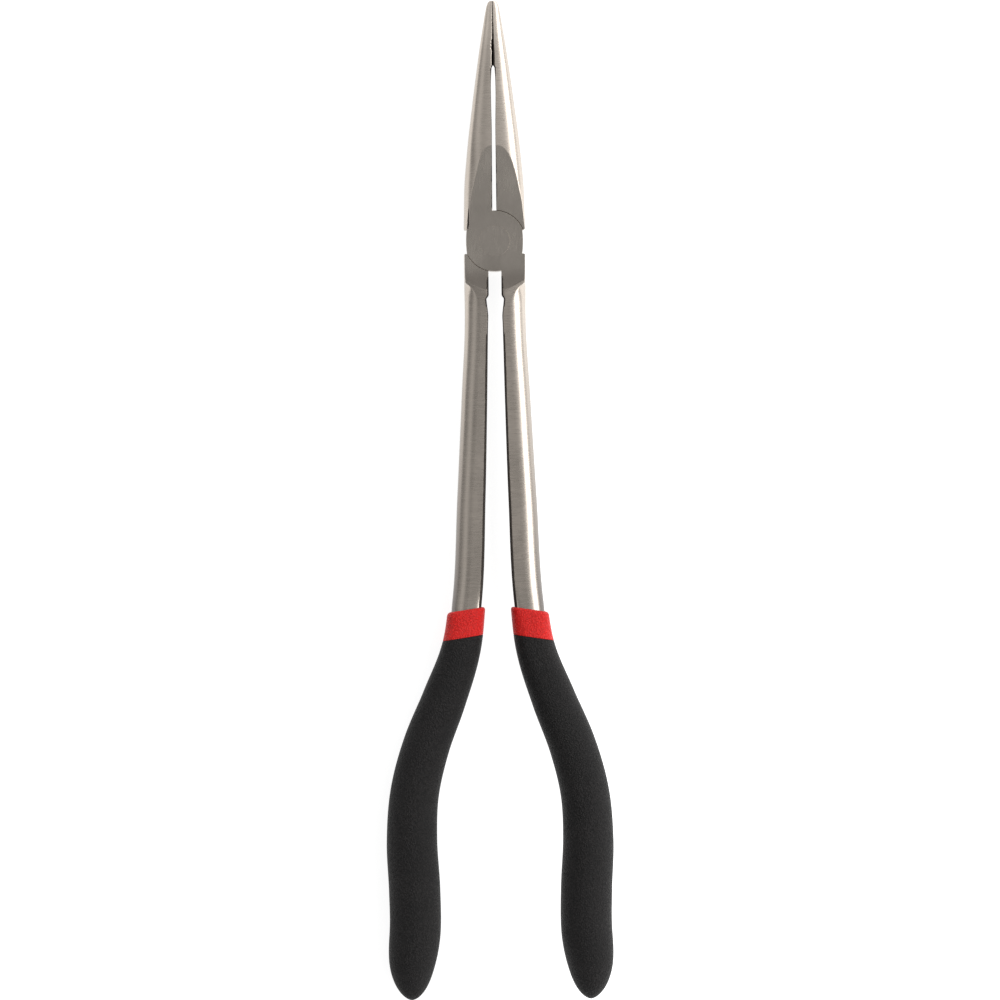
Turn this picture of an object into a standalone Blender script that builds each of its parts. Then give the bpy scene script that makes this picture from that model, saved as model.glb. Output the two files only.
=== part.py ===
"""Long-reach needle-nose pliers: two identical forged halves on one flush rivet, with two-colour grips.

Frame: +Y runs from the pivot to the jaw tips, +X to the right-hand handle and +Z up through the joint.
The origin is where the pivot's axis meets the joint's lower ground face. The jaws are modelled closed.

Everything is shaped once, for the half whose handle is on the right. The left half is the same forging
turned half a turn about the long axis, as it is on the real tool.
"""

import math

import bmesh
import bpy
import numpy as np
from mathutils import Matrix

MM = 0.001

# Overall sizes
JAW_REACH = 67.4 * MM  # pivot axis to the jaw tips
HANDLE_REACH = 212.6 * MM  # pivot axis to the ends of the grips
JOINT_THICKNESS = 9.5 * MM  # between the two ground faces
JOINT_WIDTH = 17.3 * MM  # across the shoulders

# Clearances
SEAM_GAP = 0.3 * MM  # between the two halves, and between a tang, its liner and its sleeve
RIVET_GAP = 0.1 * MM  # round the rivet, which the halves turn on

# Lap joint
DISC_RADIUS = 8.5 * MM
WAIST_WIDTH = 15.76 * MM  # the discs are ground flat at both sides
JAW_SHOULDER = 3.1 * MM  # pivot axis up to the foot of a jaw
HANDLE_SHOULDER = 3.6 * MM  # pivot axis down to the top of a handle
DISC_SIDES = 72

# Rivet
RIVET_RADIUS = 3.0 * MM
RIVET_HEAD_RADIUS = 4.3 * MM
RIVET_HEAD_DEPTH = 1.3 * MM
RIVET_STEPS = 40

# Jaws
JAW_SLOT = 1.15 * MM  # relief slot between the jaws, at the joint
JAW_SLOT_END = 0.85 * MM  # and where it meets the toothed faces
BITE_GAP = 0.3 * MM  # between the two toothed faces when closed
BITE_LENGTH = 18.8 * MM  # toothed face, measured back from the tip
BITE_LEAD = 0.6 * MM  # slope from the relief slot out to the toothed face
TIP_THICKNESS = 3.0 * MM
GROUND_FACE_REACH = 26.8 * MM  # pivot axis to where the crowned jaw drops below the ground face
TOOTH_PITCH = 1.0 * MM
TOOTH_DEPTH = 0.35 * MM
TOOTH_MARGIN = 1.0 * MM  # plain metal at both ends of the toothed face
# share of JAW_REACH, half width, squareness of the section
JAW_PROFILE = (
    (0.03, 8.65 * MM, 9.0),
    (0.12, 8.55 * MM, 6.0),
    (0.23, 8.35 * MM, 4.2),
    (0.33, 7.80 * MM, 3.6),
    (0.43, 7.10 * MM, 3.3),
    (0.53, 6.25 * MM, 3.1),
    (0.63, 5.38 * MM, 2.9),
    (0.73, 4.45 * MM, 2.8),
    (0.82, 3.55 * MM, 2.7),
    (0.90, 2.66 * MM, 2.6),
    (0.955, 2.02 * MM, 2.6),
    (0.987, 1.50 * MM, 2.6),
    (1.0, 0.95 * MM, 2.6),
)
TIP_ROUNDING = 3.2 * MM  # length over which the tip's thickness is rounded off
TIP_DROP = 0.45  # share of its thickness that the tip loses there
JAW_SIDES = 40

# Bevelled edge on each jaw's outer side, on the lap face
JAW_BEVEL_WIDTH = 1.05 * MM  # at the shoulder
JAW_BEVEL_LEAN = 1.0 * MM  # how much further in it starts at its far end
JAW_BEVEL_LENGTH = 14.0 * MM  # along the jaw, to where it fades out
JAW_BEVEL_SLOPE = 30.0  # degrees below the ground face

# Handles
HANDLE_SLOT = 3.6 * MM  # between the two handles at their roots
SLOT_LENGTH = 15.1 * MM  # pivot axis to where that slot runs out
SLOT_RELIEF = 0.6 * MM  # how far the forging stands back where the slot runs out
SLOT_RELIEF_LENGTH = 5.5 * MM
BLOCK_RISE = 0.45 * MM  # the forging's crown above the ground face, before grinding
BLOCK_ROUNDING = 0.4 * MM  # of the block's outer edges
ROUNDING_START = 9.8 * MM  # pivot axis to where the block's outer edges start to round off
ROUNDING_END = 15.0 * MM  # and to where the outer side is a full half round
BAR_START = 29.0 * MM  # pivot axis to where the bar has its own thickness
BAR_THICKNESS = 7.8 * MM
BAR_ROUNDING = 3.9 * MM  # across the rounded outer side of the bar
BAR_SIDES = 24
# share of the bar from the slot's end to the grip, half width, sideways offset of its centreline
BAR_PROFILE = (
    (0.0, 3.42 * MM, 0.0 * MM),
    (0.06, 3.30 * MM, 0.05 * MM),
    (0.33, 3.60 * MM, 0.86 * MM),
    (0.65, 3.98 * MM, 1.98 * MM),
    (0.97, 4.14 * MM, 3.40 * MM),
)

# Tangs: the steel inside the grips
TANG_WIDTH = 6.9 * MM
TANG_THICKNESS = 6.4 * MM
TANG_END_WIDTH = 3.8 * MM
TANG_END_THICKNESS = 3.6 * MM
TANG_END_TAPER = 20.0 * MM  # length over which the tang's end narrows
TANG_END_GAP = 12.5 * MM  # from the tang's end to the end of the grip
TANG_RINGS = 12  # sections along the tang, which the liner and the sleeve share

# Grips
GRIP_LENGTH = 109.4 * MM
COLLAR_LENGTH = 7.9 * MM
COLLAR_SLANT = 8.7  # degrees that its two ends run down towards the outer side
LINER_WALL = 0.45 * MM  # where the black sleeve covers it
LINER_FLOOR = 1.2 * MM  # beyond the tang's end
GRIP_SIDES = 24
GRIP_RINGS = 14
GRIP_END = 0.80  # share of the grip at which its end starts to round off
# share of the grip, how far it stands out from the end of the bar across and up, squareness
GRIP_PROFILE = (
    (-0.04, 1.00 * MM, 1.04 * MM, 4.5),
    (0.03, 1.16 * MM, 1.12 * MM, 4.5),
    (0.09, 1.33 * MM, 1.19 * MM, 4.0),
    (0.19, 1.91 * MM, 1.40 * MM, 3.2),
    (0.345, 2.46 * MM, 1.65 * MM, 2.6),
    (0.467, 2.70 * MM, 1.82 * MM, 2.4),
    (0.65, 3.08 * MM, 2.05 * MM, 2.4),
    (0.80, 3.10 * MM, 2.00 * MM, 2.4),
    (1.0, 2.90 * MM, 1.80 * MM, 2.2),
)
# share of the grip, sideways offset of its centreline
GRIP_BOW = (
    (0.081, 4.90 * MM),
    (0.232, 10.3 * MM),
    (0.346, 15.2 * MM),
    (0.467, 18.6 * MM),
    (0.592, 19.5 * MM),
    (0.714, 18.9 * MM),
    (0.815, 18.8 * MM),
    (0.913, 19.8 * MM),
    (1.0, 19.9 * MM),
)

MID = JOINT_THICKNESS / 2
BIG = 4 * JOINT_WIDTH  # a size that takes a cutter clear of what it cuts
ROOT_CENTRE = (HANDLE_SLOT / 2 + JOINT_WIDTH / 2) / 2
RECESS_RADIUS = DISC_RADIUS + SEAM_GAP
GRIP_TOP = HANDLE_REACH - GRIP_LENGTH  # this and the next two are depths below the pivot
COLLAR_FOOT = GRIP_TOP + COLLAR_LENGTH
TANG_END = HANDLE_REACH - TANG_END_GAP


# ---------------------------------------------------------------- materials and objects


def material(name, colour, roughness, metallic):
    made = bpy.data.materials.new(name)
    made.use_nodes = True
    shader = made.node_tree.nodes["Principled BSDF"]
    shader.inputs["Base Color"].default_value = (*colour, 1.0)
    shader.inputs["Roughness"].default_value = roughness
    shader.inputs["Metallic"].default_value = metallic
    made.diffuse_color = (*colour, 1.0)
    return made


def collection(name):
    made = bpy.data.collections.new(name)
    bpy.context.scene.collection.children.link(made)
    return made


def add(name, mesh, where):
    made = bpy.data.objects.new(name, mesh)
    where.objects.link(made)
    return made


def helper(name, mesh):
    """A shape that only cuts or joins another."""
    made = add(name, mesh, CUTTERS)
    made.hide_render = True
    made.display_type = "WIRE"
    return made


def boolean(target, tool, operation):
    modifier = target.modifiers.new(tool.name, "BOOLEAN")
    modifier.operation = operation
    modifier.solver = "EXACT"
    modifier.object = tool


def finished_mesh(made, name, smooth_angle):
    """The object's mesh with its modifiers applied, shaded smooth between edges sharper than the angle."""
    bpy.context.view_layer.update()
    graph = bpy.context.evaluated_depsgraph_get()
    mesh = bpy.data.meshes.new_from_object(made.evaluated_get(graph))
    mesh.name = name
    mesh.shade_smooth()
    mesh.set_sharp_from_angle(angle=math.radians(smooth_angle))
    return mesh


# ---------------------------------------------------------------- shapes


def smooth(points, at):
    """The value at each place of a smooth curve through (place, value) points."""
    place, value = (np.array(column, float) for column in zip(*points))
    slope = np.gradient(value, place)
    at = np.clip(at, place[0], place[-1])
    before = np.clip(np.searchsorted(place, at) - 1, 0, len(place) - 2)
    step = place[before + 1] - place[before]
    t = (at - place[before]) / step
    leaving = value[before] * (1 + 2 * t) * (1 - t) ** 2 + slope[before] * step * t * (1 - t) ** 2
    arriving = value[before + 1] * t**2 * (3 - 2 * t) + slope[before + 1] * step * t**2 * (t - 1)
    return leaving + arriving


def ease(at, start, end):
    """From 0 at the start to 1 at the end, leaving and arriving level."""
    t = np.clip((at - start) / (end - start), 0.0, 1.0)
    return t * t * (3 - 2 * t)


def section(inner, crown, outer, half_height, squareness, count, inner_squareness=None):
    """Points round a superellipse, as (across, up), whose two sides differ in reach and squareness."""
    angle = 2 * math.pi * np.arange(count) / count
    across, up = np.cos(angle), np.sin(angle)
    outside = across >= 0
    power = 2 / np.where(outside, squareness, inner_squareness or squareness)
    reach = np.where(outside, outer - crown, crown - inner)
    return (
        crown + reach * np.sign(across) * np.abs(across) ** power,
        half_height * np.sign(up) * np.abs(up) ** power,
    )


def loft(name, rings):
    """A closed mesh through rings of points that match one to one, with flat ends."""
    solid = bmesh.new()
    loops = [[solid.verts.new(point) for point in ring] for ring in rings]
    for here, there in zip(loops, loops[1:]):
        for k in range(len(here)):
            solid.faces.new((here[k - 1], here[k], there[k], there[k - 1]))
    solid.faces.new(loops[0])
    solid.faces.new(loops[-1])
    bmesh.ops.recalc_face_normals(solid, faces=solid.faces)
    mesh = bpy.data.meshes.new(name)
    solid.to_mesh(mesh)
    solid.free()
    return mesh


def box(name, low, high):
    solid = bmesh.new()
    size = [top - bottom for bottom, top in zip(low, high)]
    centre = [(top + bottom) / 2 for bottom, top in zip(low, high)]
    bmesh.ops.create_cube(solid, size=1.0, matrix=Matrix.Translation(centre) @ Matrix.Diagonal((*size, 1.0)))
    mesh = bpy.data.meshes.new(name)
    solid.to_mesh(mesh)
    solid.free()
    return helper(name, mesh)


def cylinder(name, radius, bottom, top):
    """A round cutter on the pivot's axis."""
    solid = bmesh.new()
    place = Matrix.Translation((0, 0, (bottom + top) / 2))
    bmesh.ops.create_cone(
        solid,
        cap_ends=True,
        segments=DISC_SIDES,
        radius1=radius,
        radius2=radius,
        depth=top - bottom,
        matrix=place,
    )
    mesh = bpy.data.meshes.new(name)
    solid.to_mesh(mesh)
    solid.free()
    return helper(name, mesh)


def prism(name, outline):
    """A flat outline in X and Y, carried right through the joint's thickness."""
    curve = bpy.data.curves.new(name, "CURVE")
    curve.dimensions = "2D"
    curve.fill_mode = "BOTH"
    curve.extrude = BIG
    line = curve.splines.new("POLY")
    line.points.add(len(outline) - 1)
    for point, (x, y) in zip(line.points, outline):
        point.co = (x, y, 0, 1)
    line.use_cyclic_u = True
    drawn = add(name + "_outline", curve, CUTTERS)
    bpy.context.view_layer.update()
    graph = bpy.context.evaluated_depsgraph_get()
    mesh = bpy.data.meshes.new_from_object(drawn.evaluated_get(graph))
    solid = bmesh.new()
    solid.from_mesh(mesh)
    bmesh.ops.remove_doubles(solid, verts=solid.verts, dist=0.001 * MM)
    bmesh.ops.recalc_face_normals(solid, faces=solid.faces)
    solid.to_mesh(mesh)
    solid.free()
    made = helper(name, mesh)
    made.matrix_world = drawn.matrix_world
    bpy.data.objects.remove(drawn)
    return made


def turned(name, profile, steps):
    """A turned shape about the pivot's axis: the profile runs down its outer side as (radius, height)."""
    mesh = bpy.data.meshes.new(name)
    edges = [(k, k + 1) for k in range(len(profile) - 1)]
    mesh.from_pydata([(radius, 0, height) for radius, height in profile], edges, [])
    made = helper(name, mesh)
    screw = made.modifiers.new("Turn", "SCREW")
    screw.steps = screw.render_steps = steps
    screw.use_merge_vertices = True
    screw.merge_threshold = 0.001 * MM
    return made


# ---------------------------------------------------------------- the handle's line


def bar_depth(share):
    return SLOT_LENGTH + share * (GRIP_TOP - SLOT_LENGTH)


def grip_depth(share):
    return GRIP_TOP + share * GRIP_LENGTH


def bow(depth):
    """Sideways place of the handle's centreline at a depth below the pivot."""
    line = [(bar_depth(share), offset) for share, _, offset in BAR_PROFILE]
    line += [(grip_depth(share), offset) for share, offset in GRIP_BOW]
    return ROOT_CENTRE + smooth(line, depth)


def on_handle(depth, across, up):
    """The points of a section that stands square to the handle's line at a depth below the pivot."""
    step = 0.5 * MM
    lean = (bow(depth + step) - bow(depth - step)) / (2 * step)
    length = math.hypot(1, lean)
    return [(bow(depth) + u / length, u * lean / length - depth, MID + z) for u, z in zip(across, up)]


# ---------------------------------------------------------------- the forged half


def jaw_rings():
    """The jaw as it is ground round, both halves together, from inside the joint to the tip."""
    widths = [(share, width) for share, width, _ in JAW_PROFILE]
    squareness = [(share, square) for share, _, square in JAW_PROFILE]
    taper = (MID - TIP_THICKNESS / 2) / (JAW_REACH - GROUND_FACE_REACH)
    round_tip = JAW_REACH - TIP_ROUNDING
    root = np.linspace(JAW_SHOULDER, GROUND_FACE_REACH, 7)
    cone = np.linspace(GROUND_FACE_REACH, round_tip, 8)[1:]
    places = (*root, *cone, *np.linspace(round_tip, JAW_REACH, 4)[1:])
    rings = []
    for y in places:
        share = y / JAW_REACH
        half_height = TIP_THICKNESS / 2 + taper * (JAW_REACH - y)
        into_tip = max(0.0, (y - round_tip) / TIP_ROUNDING)
        half_height *= 1 - TIP_DROP * into_tip**2
        width = smooth(widths, share)
        across, up = section(-width, 0, width, half_height, smooth(squareness, share), JAW_SIDES)
        rings.append([(u, y, MID + z) for u, z in zip(across, up)])
    return rings


def jaw():
    made = helper("jaw_blank", loft("jaw_blank", jaw_rings()))
    bite_start = JAW_REACH - BITE_LENGTH
    open_side = [
        (-JAW_SLOT / 2, -DISC_RADIUS),
        (-JAW_SLOT / 2, DISC_RADIUS),
        (-JAW_SLOT_END / 2, bite_start),
        (-BITE_GAP / 2, bite_start + BITE_LEAD),
        (-BITE_GAP / 2, JAW_REACH + BITE_LENGTH),
        (BIG, JAW_REACH + BITE_LENGTH),
        (BIG, -DISC_RADIUS),
    ]
    boolean(made, prism("jaw_inner_face", open_side), "DIFFERENCE")
    return made


def tooth_grooves():
    """V grooves straight across the toothed face."""
    solid = bmesh.new()
    y = JAW_REACH - BITE_LENGTH + BITE_LEAD + TOOTH_MARGIN
    while y < JAW_REACH - TOOTH_MARGIN:
        bmesh.ops.create_cone(
            solid,
            cap_ends=True,
            segments=4,
            radius1=TOOTH_DEPTH,
            radius2=TOOTH_DEPTH,
            depth=2 * JOINT_THICKNESS,
            matrix=Matrix.Translation((-BITE_GAP / 2, y, MID)),
        )
        y += TOOTH_PITCH
    mesh = bpy.data.meshes.new("tooth_grooves")
    solid.to_mesh(mesh)
    solid.free()
    return helper("tooth_grooves", mesh)


def steel_half_width(depth):
    """The block's own half width, then the widening bar, then the narrower tang inside the grip."""
    bar = smooth([(bar_depth(share), half_width) for share, half_width, _ in BAR_PROFILE], depth)
    narrowing = (BAR_PROFILE[-1][1] - TANG_WIDTH / 2) * ease(depth, GRIP_TOP, COLLAR_FOOT)
    tip = (TANG_WIDTH - TANG_END_WIDTH) / 2 * ease(depth, TANG_END - TANG_END_TAPER, TANG_END)
    return bar - narrowing - tip


def steel_half_height(depth):
    """Crowned above the ground face at the block, then the bar, then the thinner tang inside the grip."""
    crown = MID + BLOCK_RISE
    to_bar = (crown - BAR_THICKNESS / 2) * ease(depth, HANDLE_SHOULDER, BAR_START)
    to_tang = (BAR_THICKNESS - TANG_THICKNESS) / 2 * ease(depth, GRIP_TOP, COLLAR_FOOT)
    tip = (TANG_THICKNESS - TANG_END_THICKNESS) / 2 * ease(depth, TANG_END - TANG_END_TAPER, TANG_END)
    return crown - to_bar - to_tang - tip


def steel_section(depth, grow, count):
    """The steel's section grown all round: a square block, a bar half round outside, then a rounded tang."""
    width = steel_half_width(depth) + grow
    height = steel_half_height(depth) + grow
    rounding = BLOCK_ROUNDING + (BAR_ROUNDING - BLOCK_ROUNDING) * ease(depth, ROUNDING_START, ROUNDING_END)
    in_grip = ease(depth, GRIP_TOP - COLLAR_LENGTH, COLLAR_FOOT + COLLAR_LENGTH)
    crown = (width - rounding) * (1 - in_grip)
    squareness, inner_squareness = 2.0 + 0.5 * in_grip, 7.0 - 4.0 * in_grip
    return section(-width, crown, width, height, squareness, count, inner_squareness)


def tang_depths():
    """Depths below the pivot of the sections inside the grip, from the collar's middle to the tang's end."""
    return np.linspace((GRIP_TOP + COLLAR_FOOT) / 2, TANG_END, TANG_RINGS)


def handle():
    block = [HANDLE_SHOULDER, *np.linspace(ROUNDING_START, ROUNDING_END, 6)]
    bar = [(ROUNDING_END + BAR_START) / 2, *np.linspace(BAR_START, GRIP_TOP, 6)]
    depths = (*block, *bar, *tang_depths())
    rings = [on_handle(depth, *steel_section(depth, 0, BAR_SIDES)) for depth in depths]
    return helper("handle_blank", loft("handle_blank", rings))


def disc():
    """The half-thick lap, cut flat at both sides to the waist."""
    made = cylinder("disc_blank", DISC_RADIUS, MID - SEAM_GAP, JOINT_THICKNESS + SEAM_GAP)
    waist = WAIST_WIDTH / 2
    boolean(made, box("waist", (-waist, -BIG, -BIG), (waist, BIG, BIG)), "INTERSECT")
    return made


def bevel_cutter():
    """A slanting cut along the jaw's outer edge on the lap face, widest at the shoulder."""
    made = box("jaw_bevel", (-BIG, -BIG, 0), (BIG, BIG, BIG))
    made.matrix_world = (
        Matrix.Translation((JAW_BEVEL_WIDTH - JOINT_WIDTH / 2, JAW_SHOULDER, JOINT_THICKNESS))
        @ Matrix.Rotation(-math.atan2(JAW_BEVEL_LEAN, JAW_BEVEL_LENGTH), 4, "Z")
        @ Matrix.Rotation(math.radians(-JAW_BEVEL_SLOPE), 4, "Y")
    )
    return made


def slot_relief():
    """Where the handle slot runs out, the forging's inner edge stands back a little."""
    edge = HANDLE_SLOT / 2
    outline = [
        (-edge, -SLOT_LENGTH),
        (edge, -SLOT_LENGTH),
        (edge + SLOT_RELIEF, -SLOT_LENGTH - 0.2 * SLOT_RELIEF_LENGTH),
        (edge + 0.9 * SLOT_RELIEF, -SLOT_LENGTH - 0.4 * SLOT_RELIEF_LENGTH),
        (edge - 0.1 * SLOT_RELIEF, -SLOT_LENGTH - SLOT_RELIEF_LENGTH),
        (-edge, -SLOT_LENGTH - SLOT_RELIEF_LENGTH),
    ]
    return prism("slot_relief", outline)


def rivet_blank(grow=0.0, overrun=0.0):
    """The rivet with its two countersunk heads, grown all round and run past the ground faces."""
    shank = RIVET_RADIUS + grow
    flare = (RIVET_HEAD_RADIUS - RIVET_RADIUS) / RIVET_HEAD_DEPTH
    head = RIVET_HEAD_RADIUS + grow + flare * overrun
    profile = [
        (0, JOINT_THICKNESS + overrun),
        (head, JOINT_THICKNESS + overrun),
        (shank, JOINT_THICKNESS - RIVET_HEAD_DEPTH),
        (shank, RIVET_HEAD_DEPTH),
        (head, -overrun),
        (0, -overrun),
    ]
    return turned("rivet_blank" if grow == 0 else "rivet_hole", profile, RIVET_STEPS)


def forged_half():
    """One forging, shaped in place for the half with its handle on the right and its lap on top."""
    blank = helper("half_blank", handle().data)
    boolean(blank, jaw(), "UNION")
    boolean(blank, disc(), "UNION")
    low, high = (-BIG, -2 * HANDLE_REACH, 0), (BIG, 2 * JAW_REACH, JOINT_THICKNESS)
    boolean(blank, box("ground_faces", low, high), "INTERSECT")
    boolean(blank, cylinder("recess", RECESS_RADIUS, -BIG, MID + SEAM_GAP / 2), "DIFFERENCE")
    boolean(blank, rivet_blank(RIVET_GAP, SEAM_GAP), "DIFFERENCE")
    boolean(blank, slot_relief(), "DIFFERENCE")
    boolean(blank, bevel_cutter(), "DIFFERENCE")
    boolean(blank, tooth_grooves(), "DIFFERENCE")
    return finished_mesh(blank, "forged_half", 28)


# ---------------------------------------------------------------- the grips


def grip_section(depth):
    """The finished grip's section at a depth below the pivot, drawn in towards its rounded end."""
    share = (depth - GRIP_TOP) / GRIP_LENGTH
    out_across, out_up, squareness = (
        smooth([(row[0], row[column]) for row in GRIP_PROFILE], share) for column in (1, 2, 3)
    )
    to_end = max(0.0, (share - GRIP_END) / (1 - GRIP_END))
    drawn_in = (1 - to_end**3) ** 0.59
    width = (BAR_PROFILE[-1][1] + out_across) * drawn_in
    height = (BAR_THICKNESS / 2 + out_up) * drawn_in
    return section(-width, 0, width, height, squareness, GRIP_SIDES)


def grip_blank(name, depths):
    """The finished grip's outside between two depths below the pivot, with square ends."""
    return helper(name, loft(name, [on_handle(depth, *grip_section(depth)) for depth in depths]))


def beyond_collar_line(name, depth, above):
    """Everything above, or below, the slanting line that crosses the handle at a depth below the pivot."""
    low, high = (0, BIG) if above else (-BIG, 0)
    made = box(name, (-BIG, low, -BIG), (BIG, high, BIG))
    place = Matrix.Translation((bow(depth), -depth, MID))
    made.matrix_world = place @ Matrix.Rotation(math.radians(-COLLAR_SLANT), 4, "Z")
    return made


def round_the_steel(name, depths, wall, floor):
    """The steel grown by a wall between two depths, and carried on past the last one by a floor."""
    rings = [on_handle(depth, *steel_section(depth, wall, GRIP_SIDES)) for depth in depths]
    rings.append(on_handle(depths[-1] + floor, *steel_section(depths[-1], wall, GRIP_SIDES)))
    return helper(name, loft(name, rings))


def liner_blank(name, gap):
    """The liner from inside its collar to its floor, as a solid, grown by a gap."""
    return round_the_steel(name, tang_depths(), SEAM_GAP + LINER_WALL + gap, SEAM_GAP + LINER_FLOOR + gap)


def red_liner():
    """First shot of the grip: the red collar that shows, and the thin liner that the black sleeve covers."""
    spare = COLLAR_LENGTH / 2
    blank = grip_blank("collar_blank", np.linspace(GRIP_TOP - spare, COLLAR_FOOT + spare, 6))
    boolean(blank, beyond_collar_line("collar_top", GRIP_TOP, True), "DIFFERENCE")
    boolean(blank, beyond_collar_line("collar_foot", COLLAR_FOOT, False), "DIFFERENCE")
    boolean(blank, liner_blank("liner_blank", 0), "UNION")
    room = [GRIP_TOP - COLLAR_LENGTH, GRIP_TOP, *tang_depths()]
    boolean(blank, round_the_steel("tang_room", room, SEAM_GAP, SEAM_GAP), "DIFFERENCE")
    return finished_mesh(blank, "red_liner", 40)


def black_sleeve():
    """Second shot of the grip, moulded over the liner and flush with the collar."""
    body = np.linspace(COLLAR_FOOT - COLLAR_LENGTH / 2, grip_depth(GRIP_END), GRIP_RINGS)
    turn = np.radians(np.linspace(0, 87.5, 8)[1:])
    rounded_end = grip_depth(GRIP_END) + (1 - GRIP_END) * GRIP_LENGTH * np.sin(turn)
    blank = grip_blank("sleeve_blank", (*body, *rounded_end))
    boolean(blank, beyond_collar_line("sleeve_top", COLLAR_FOOT + SEAM_GAP, True), "DIFFERENCE")
    boolean(blank, liner_blank("liner_room", SEAM_GAP), "DIFFERENCE")
    return finished_mesh(blank, "black_sleeve", 40)


# ---------------------------------------------------------------- assembly


def place_pair(part, mesh, finish, pivots):
    """The right-hand piece where it was shaped, and the left-hand one turned about the long axis."""
    mesh.materials.append(finish)
    for side, pivot in pivots.items():
        made = add(f"{side}_{part}", mesh, PLIERS)
        made.parent = pivot


def pivot_empty(side, turned_over):
    """The side's own frame on the pivot's axis."""
    made = bpy.data.objects.new(f"{side}_pivot", None)
    PLIERS.objects.link(made)
    if turned_over:
        made.location = (0, 0, JOINT_THICKNESS)
        made.rotation_euler = (0, math.pi, 0)
    return made


for leftover in list(bpy.data.objects):
    bpy.data.objects.remove(leftover)

PLIERS = collection("Needle_nose_pliers")
CUTTERS = collection("Cutters")

STEEL = material("ground_steel", (0.46, 0.43, 0.40), 0.32, 1.0)
RIVET_STEEL = material("rivet_steel", (0.44, 0.42, 0.40), 0.38, 1.0)
RED = material("red_grip", (0.62, 0.035, 0.03), 0.75, 0.0)
BLACK = material("black_grip", (0.022, 0.022, 0.023), 0.85, 0.0)

PIVOTS = {"right": pivot_empty("right", False), "left": pivot_empty("left", True)}
place_pair("half", forged_half(), STEEL, PIVOTS)
place_pair("grip_liner", red_liner(), RED, PIVOTS)
place_pair("grip_sleeve", black_sleeve(), BLACK, PIVOTS)

rivet = add("pivot_rivet", finished_mesh(rivet_blank(), "rivet", 30), PLIERS)
rivet.parent = PIVOTS["right"]
rivet.data.materials.append(RIVET_STEEL)
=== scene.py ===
# %% [markdown]
# # Long-reach needle-nose pliers
# The pliers are two identical forgings that turn on one flush rivet, and each handle carries a grip of two
# moulded shots: a short red collar and a long black sleeve. The imported CAD model is the skeleton: it says
# where the pivot is, how long and thick everything is, and what moves. This script keeps those sizes and
# gives every piece the fine shape and finish of the real tool. The whole object is measured straight after
# loading.

# %% Load the frame and take its measures
import math

import bmesh
import bpy
import numpy as np
from mathutils import Matrix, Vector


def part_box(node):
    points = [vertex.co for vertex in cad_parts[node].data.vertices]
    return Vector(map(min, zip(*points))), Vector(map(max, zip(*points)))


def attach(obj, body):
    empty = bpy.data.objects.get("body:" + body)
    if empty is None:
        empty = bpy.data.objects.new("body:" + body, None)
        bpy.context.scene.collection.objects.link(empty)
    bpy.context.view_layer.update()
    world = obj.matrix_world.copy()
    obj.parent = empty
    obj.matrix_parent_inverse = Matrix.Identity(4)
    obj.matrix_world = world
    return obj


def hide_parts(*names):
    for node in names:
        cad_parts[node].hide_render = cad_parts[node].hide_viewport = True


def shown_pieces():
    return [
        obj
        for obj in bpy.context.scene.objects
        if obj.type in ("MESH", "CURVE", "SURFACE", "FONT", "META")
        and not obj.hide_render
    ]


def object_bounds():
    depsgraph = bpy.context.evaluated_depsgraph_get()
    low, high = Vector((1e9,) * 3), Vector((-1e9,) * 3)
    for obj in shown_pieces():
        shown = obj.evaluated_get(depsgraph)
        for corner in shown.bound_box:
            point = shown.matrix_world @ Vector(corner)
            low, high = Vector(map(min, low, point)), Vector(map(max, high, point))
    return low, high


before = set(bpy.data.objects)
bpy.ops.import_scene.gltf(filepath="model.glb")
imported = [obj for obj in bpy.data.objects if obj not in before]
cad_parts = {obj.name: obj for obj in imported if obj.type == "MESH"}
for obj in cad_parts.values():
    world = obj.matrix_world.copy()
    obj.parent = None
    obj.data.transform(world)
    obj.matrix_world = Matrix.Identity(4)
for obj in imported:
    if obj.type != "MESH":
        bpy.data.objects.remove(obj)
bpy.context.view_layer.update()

MM = 0.001

half_low, half_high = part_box("right_half")
sleeve_low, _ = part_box("right_grip_sleeve")
_, rivet_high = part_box("pivot_rivet")

JAW_REACH = half_high.y  # pivot axis to the jaw tips
JOINT_THICKNESS = half_high.z
JOINT_HALF_WIDTH = -half_low.x
HANDLE_REACH = -sleeve_low.y  # pivot axis to the ends of the grips
TANG_END = -half_low.y
RIVET_HEAD = rivet_high.x
MID = JOINT_THICKNESS / 2
print(f"jaws reach {JAW_REACH / MM:.1f} mm, handles {HANDLE_REACH / MM:.1f} mm from the pivot")
print(f"the joint is {JOINT_THICKNESS / MM:.1f} mm thick and {2 * JOINT_HALF_WIDTH / MM:.1f} mm wide")

# %% [markdown]
# ## Tables and curves
# A forging has no sharp changes along its length, so its widths are kept as short tables of places and
# values, and a smooth curve is drawn through each. It is a cubic Hermite curve, which leaves and arrives at
# each place with the slope that the neighbouring points give.

# %% Smooth curves through tables


def through(table, column, at):
    """Smooth curve through one column of a table of (place, value, ...) at the places wanted, which are in
    metres, while the table is in millimetres. Outside the table its end values hold."""
    rows = np.array(table, float)
    place, value = rows[:, 0] * MM, rows[:, column]
    slope = np.gradient(value, place)
    at = np.clip(at, place[0], place[-1])
    k = np.clip(np.searchsorted(place, at) - 1, 0, len(place) - 2)
    step = place[k + 1] - place[k]
    t = (at - place[k]) / step
    leaving = value[k] * (1 + 2 * t) * (1 - t) ** 2 + slope[k] * step * t * (1 - t) ** 2
    arriving = value[k + 1] * t**2 * (3 - 2 * t) + slope[k + 1] * step * t**2 * (t - 1)
    return leaving + arriving


def ease(at, start, end):
    """0 before the start, 1 after the end, and 3t^2 - 2t^3 between them, so it leaves and arrives level."""
    t = np.clip((at - start) / (end - start), 0.0, 1.0)
    return t * t * (3 - 2 * t)


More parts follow.
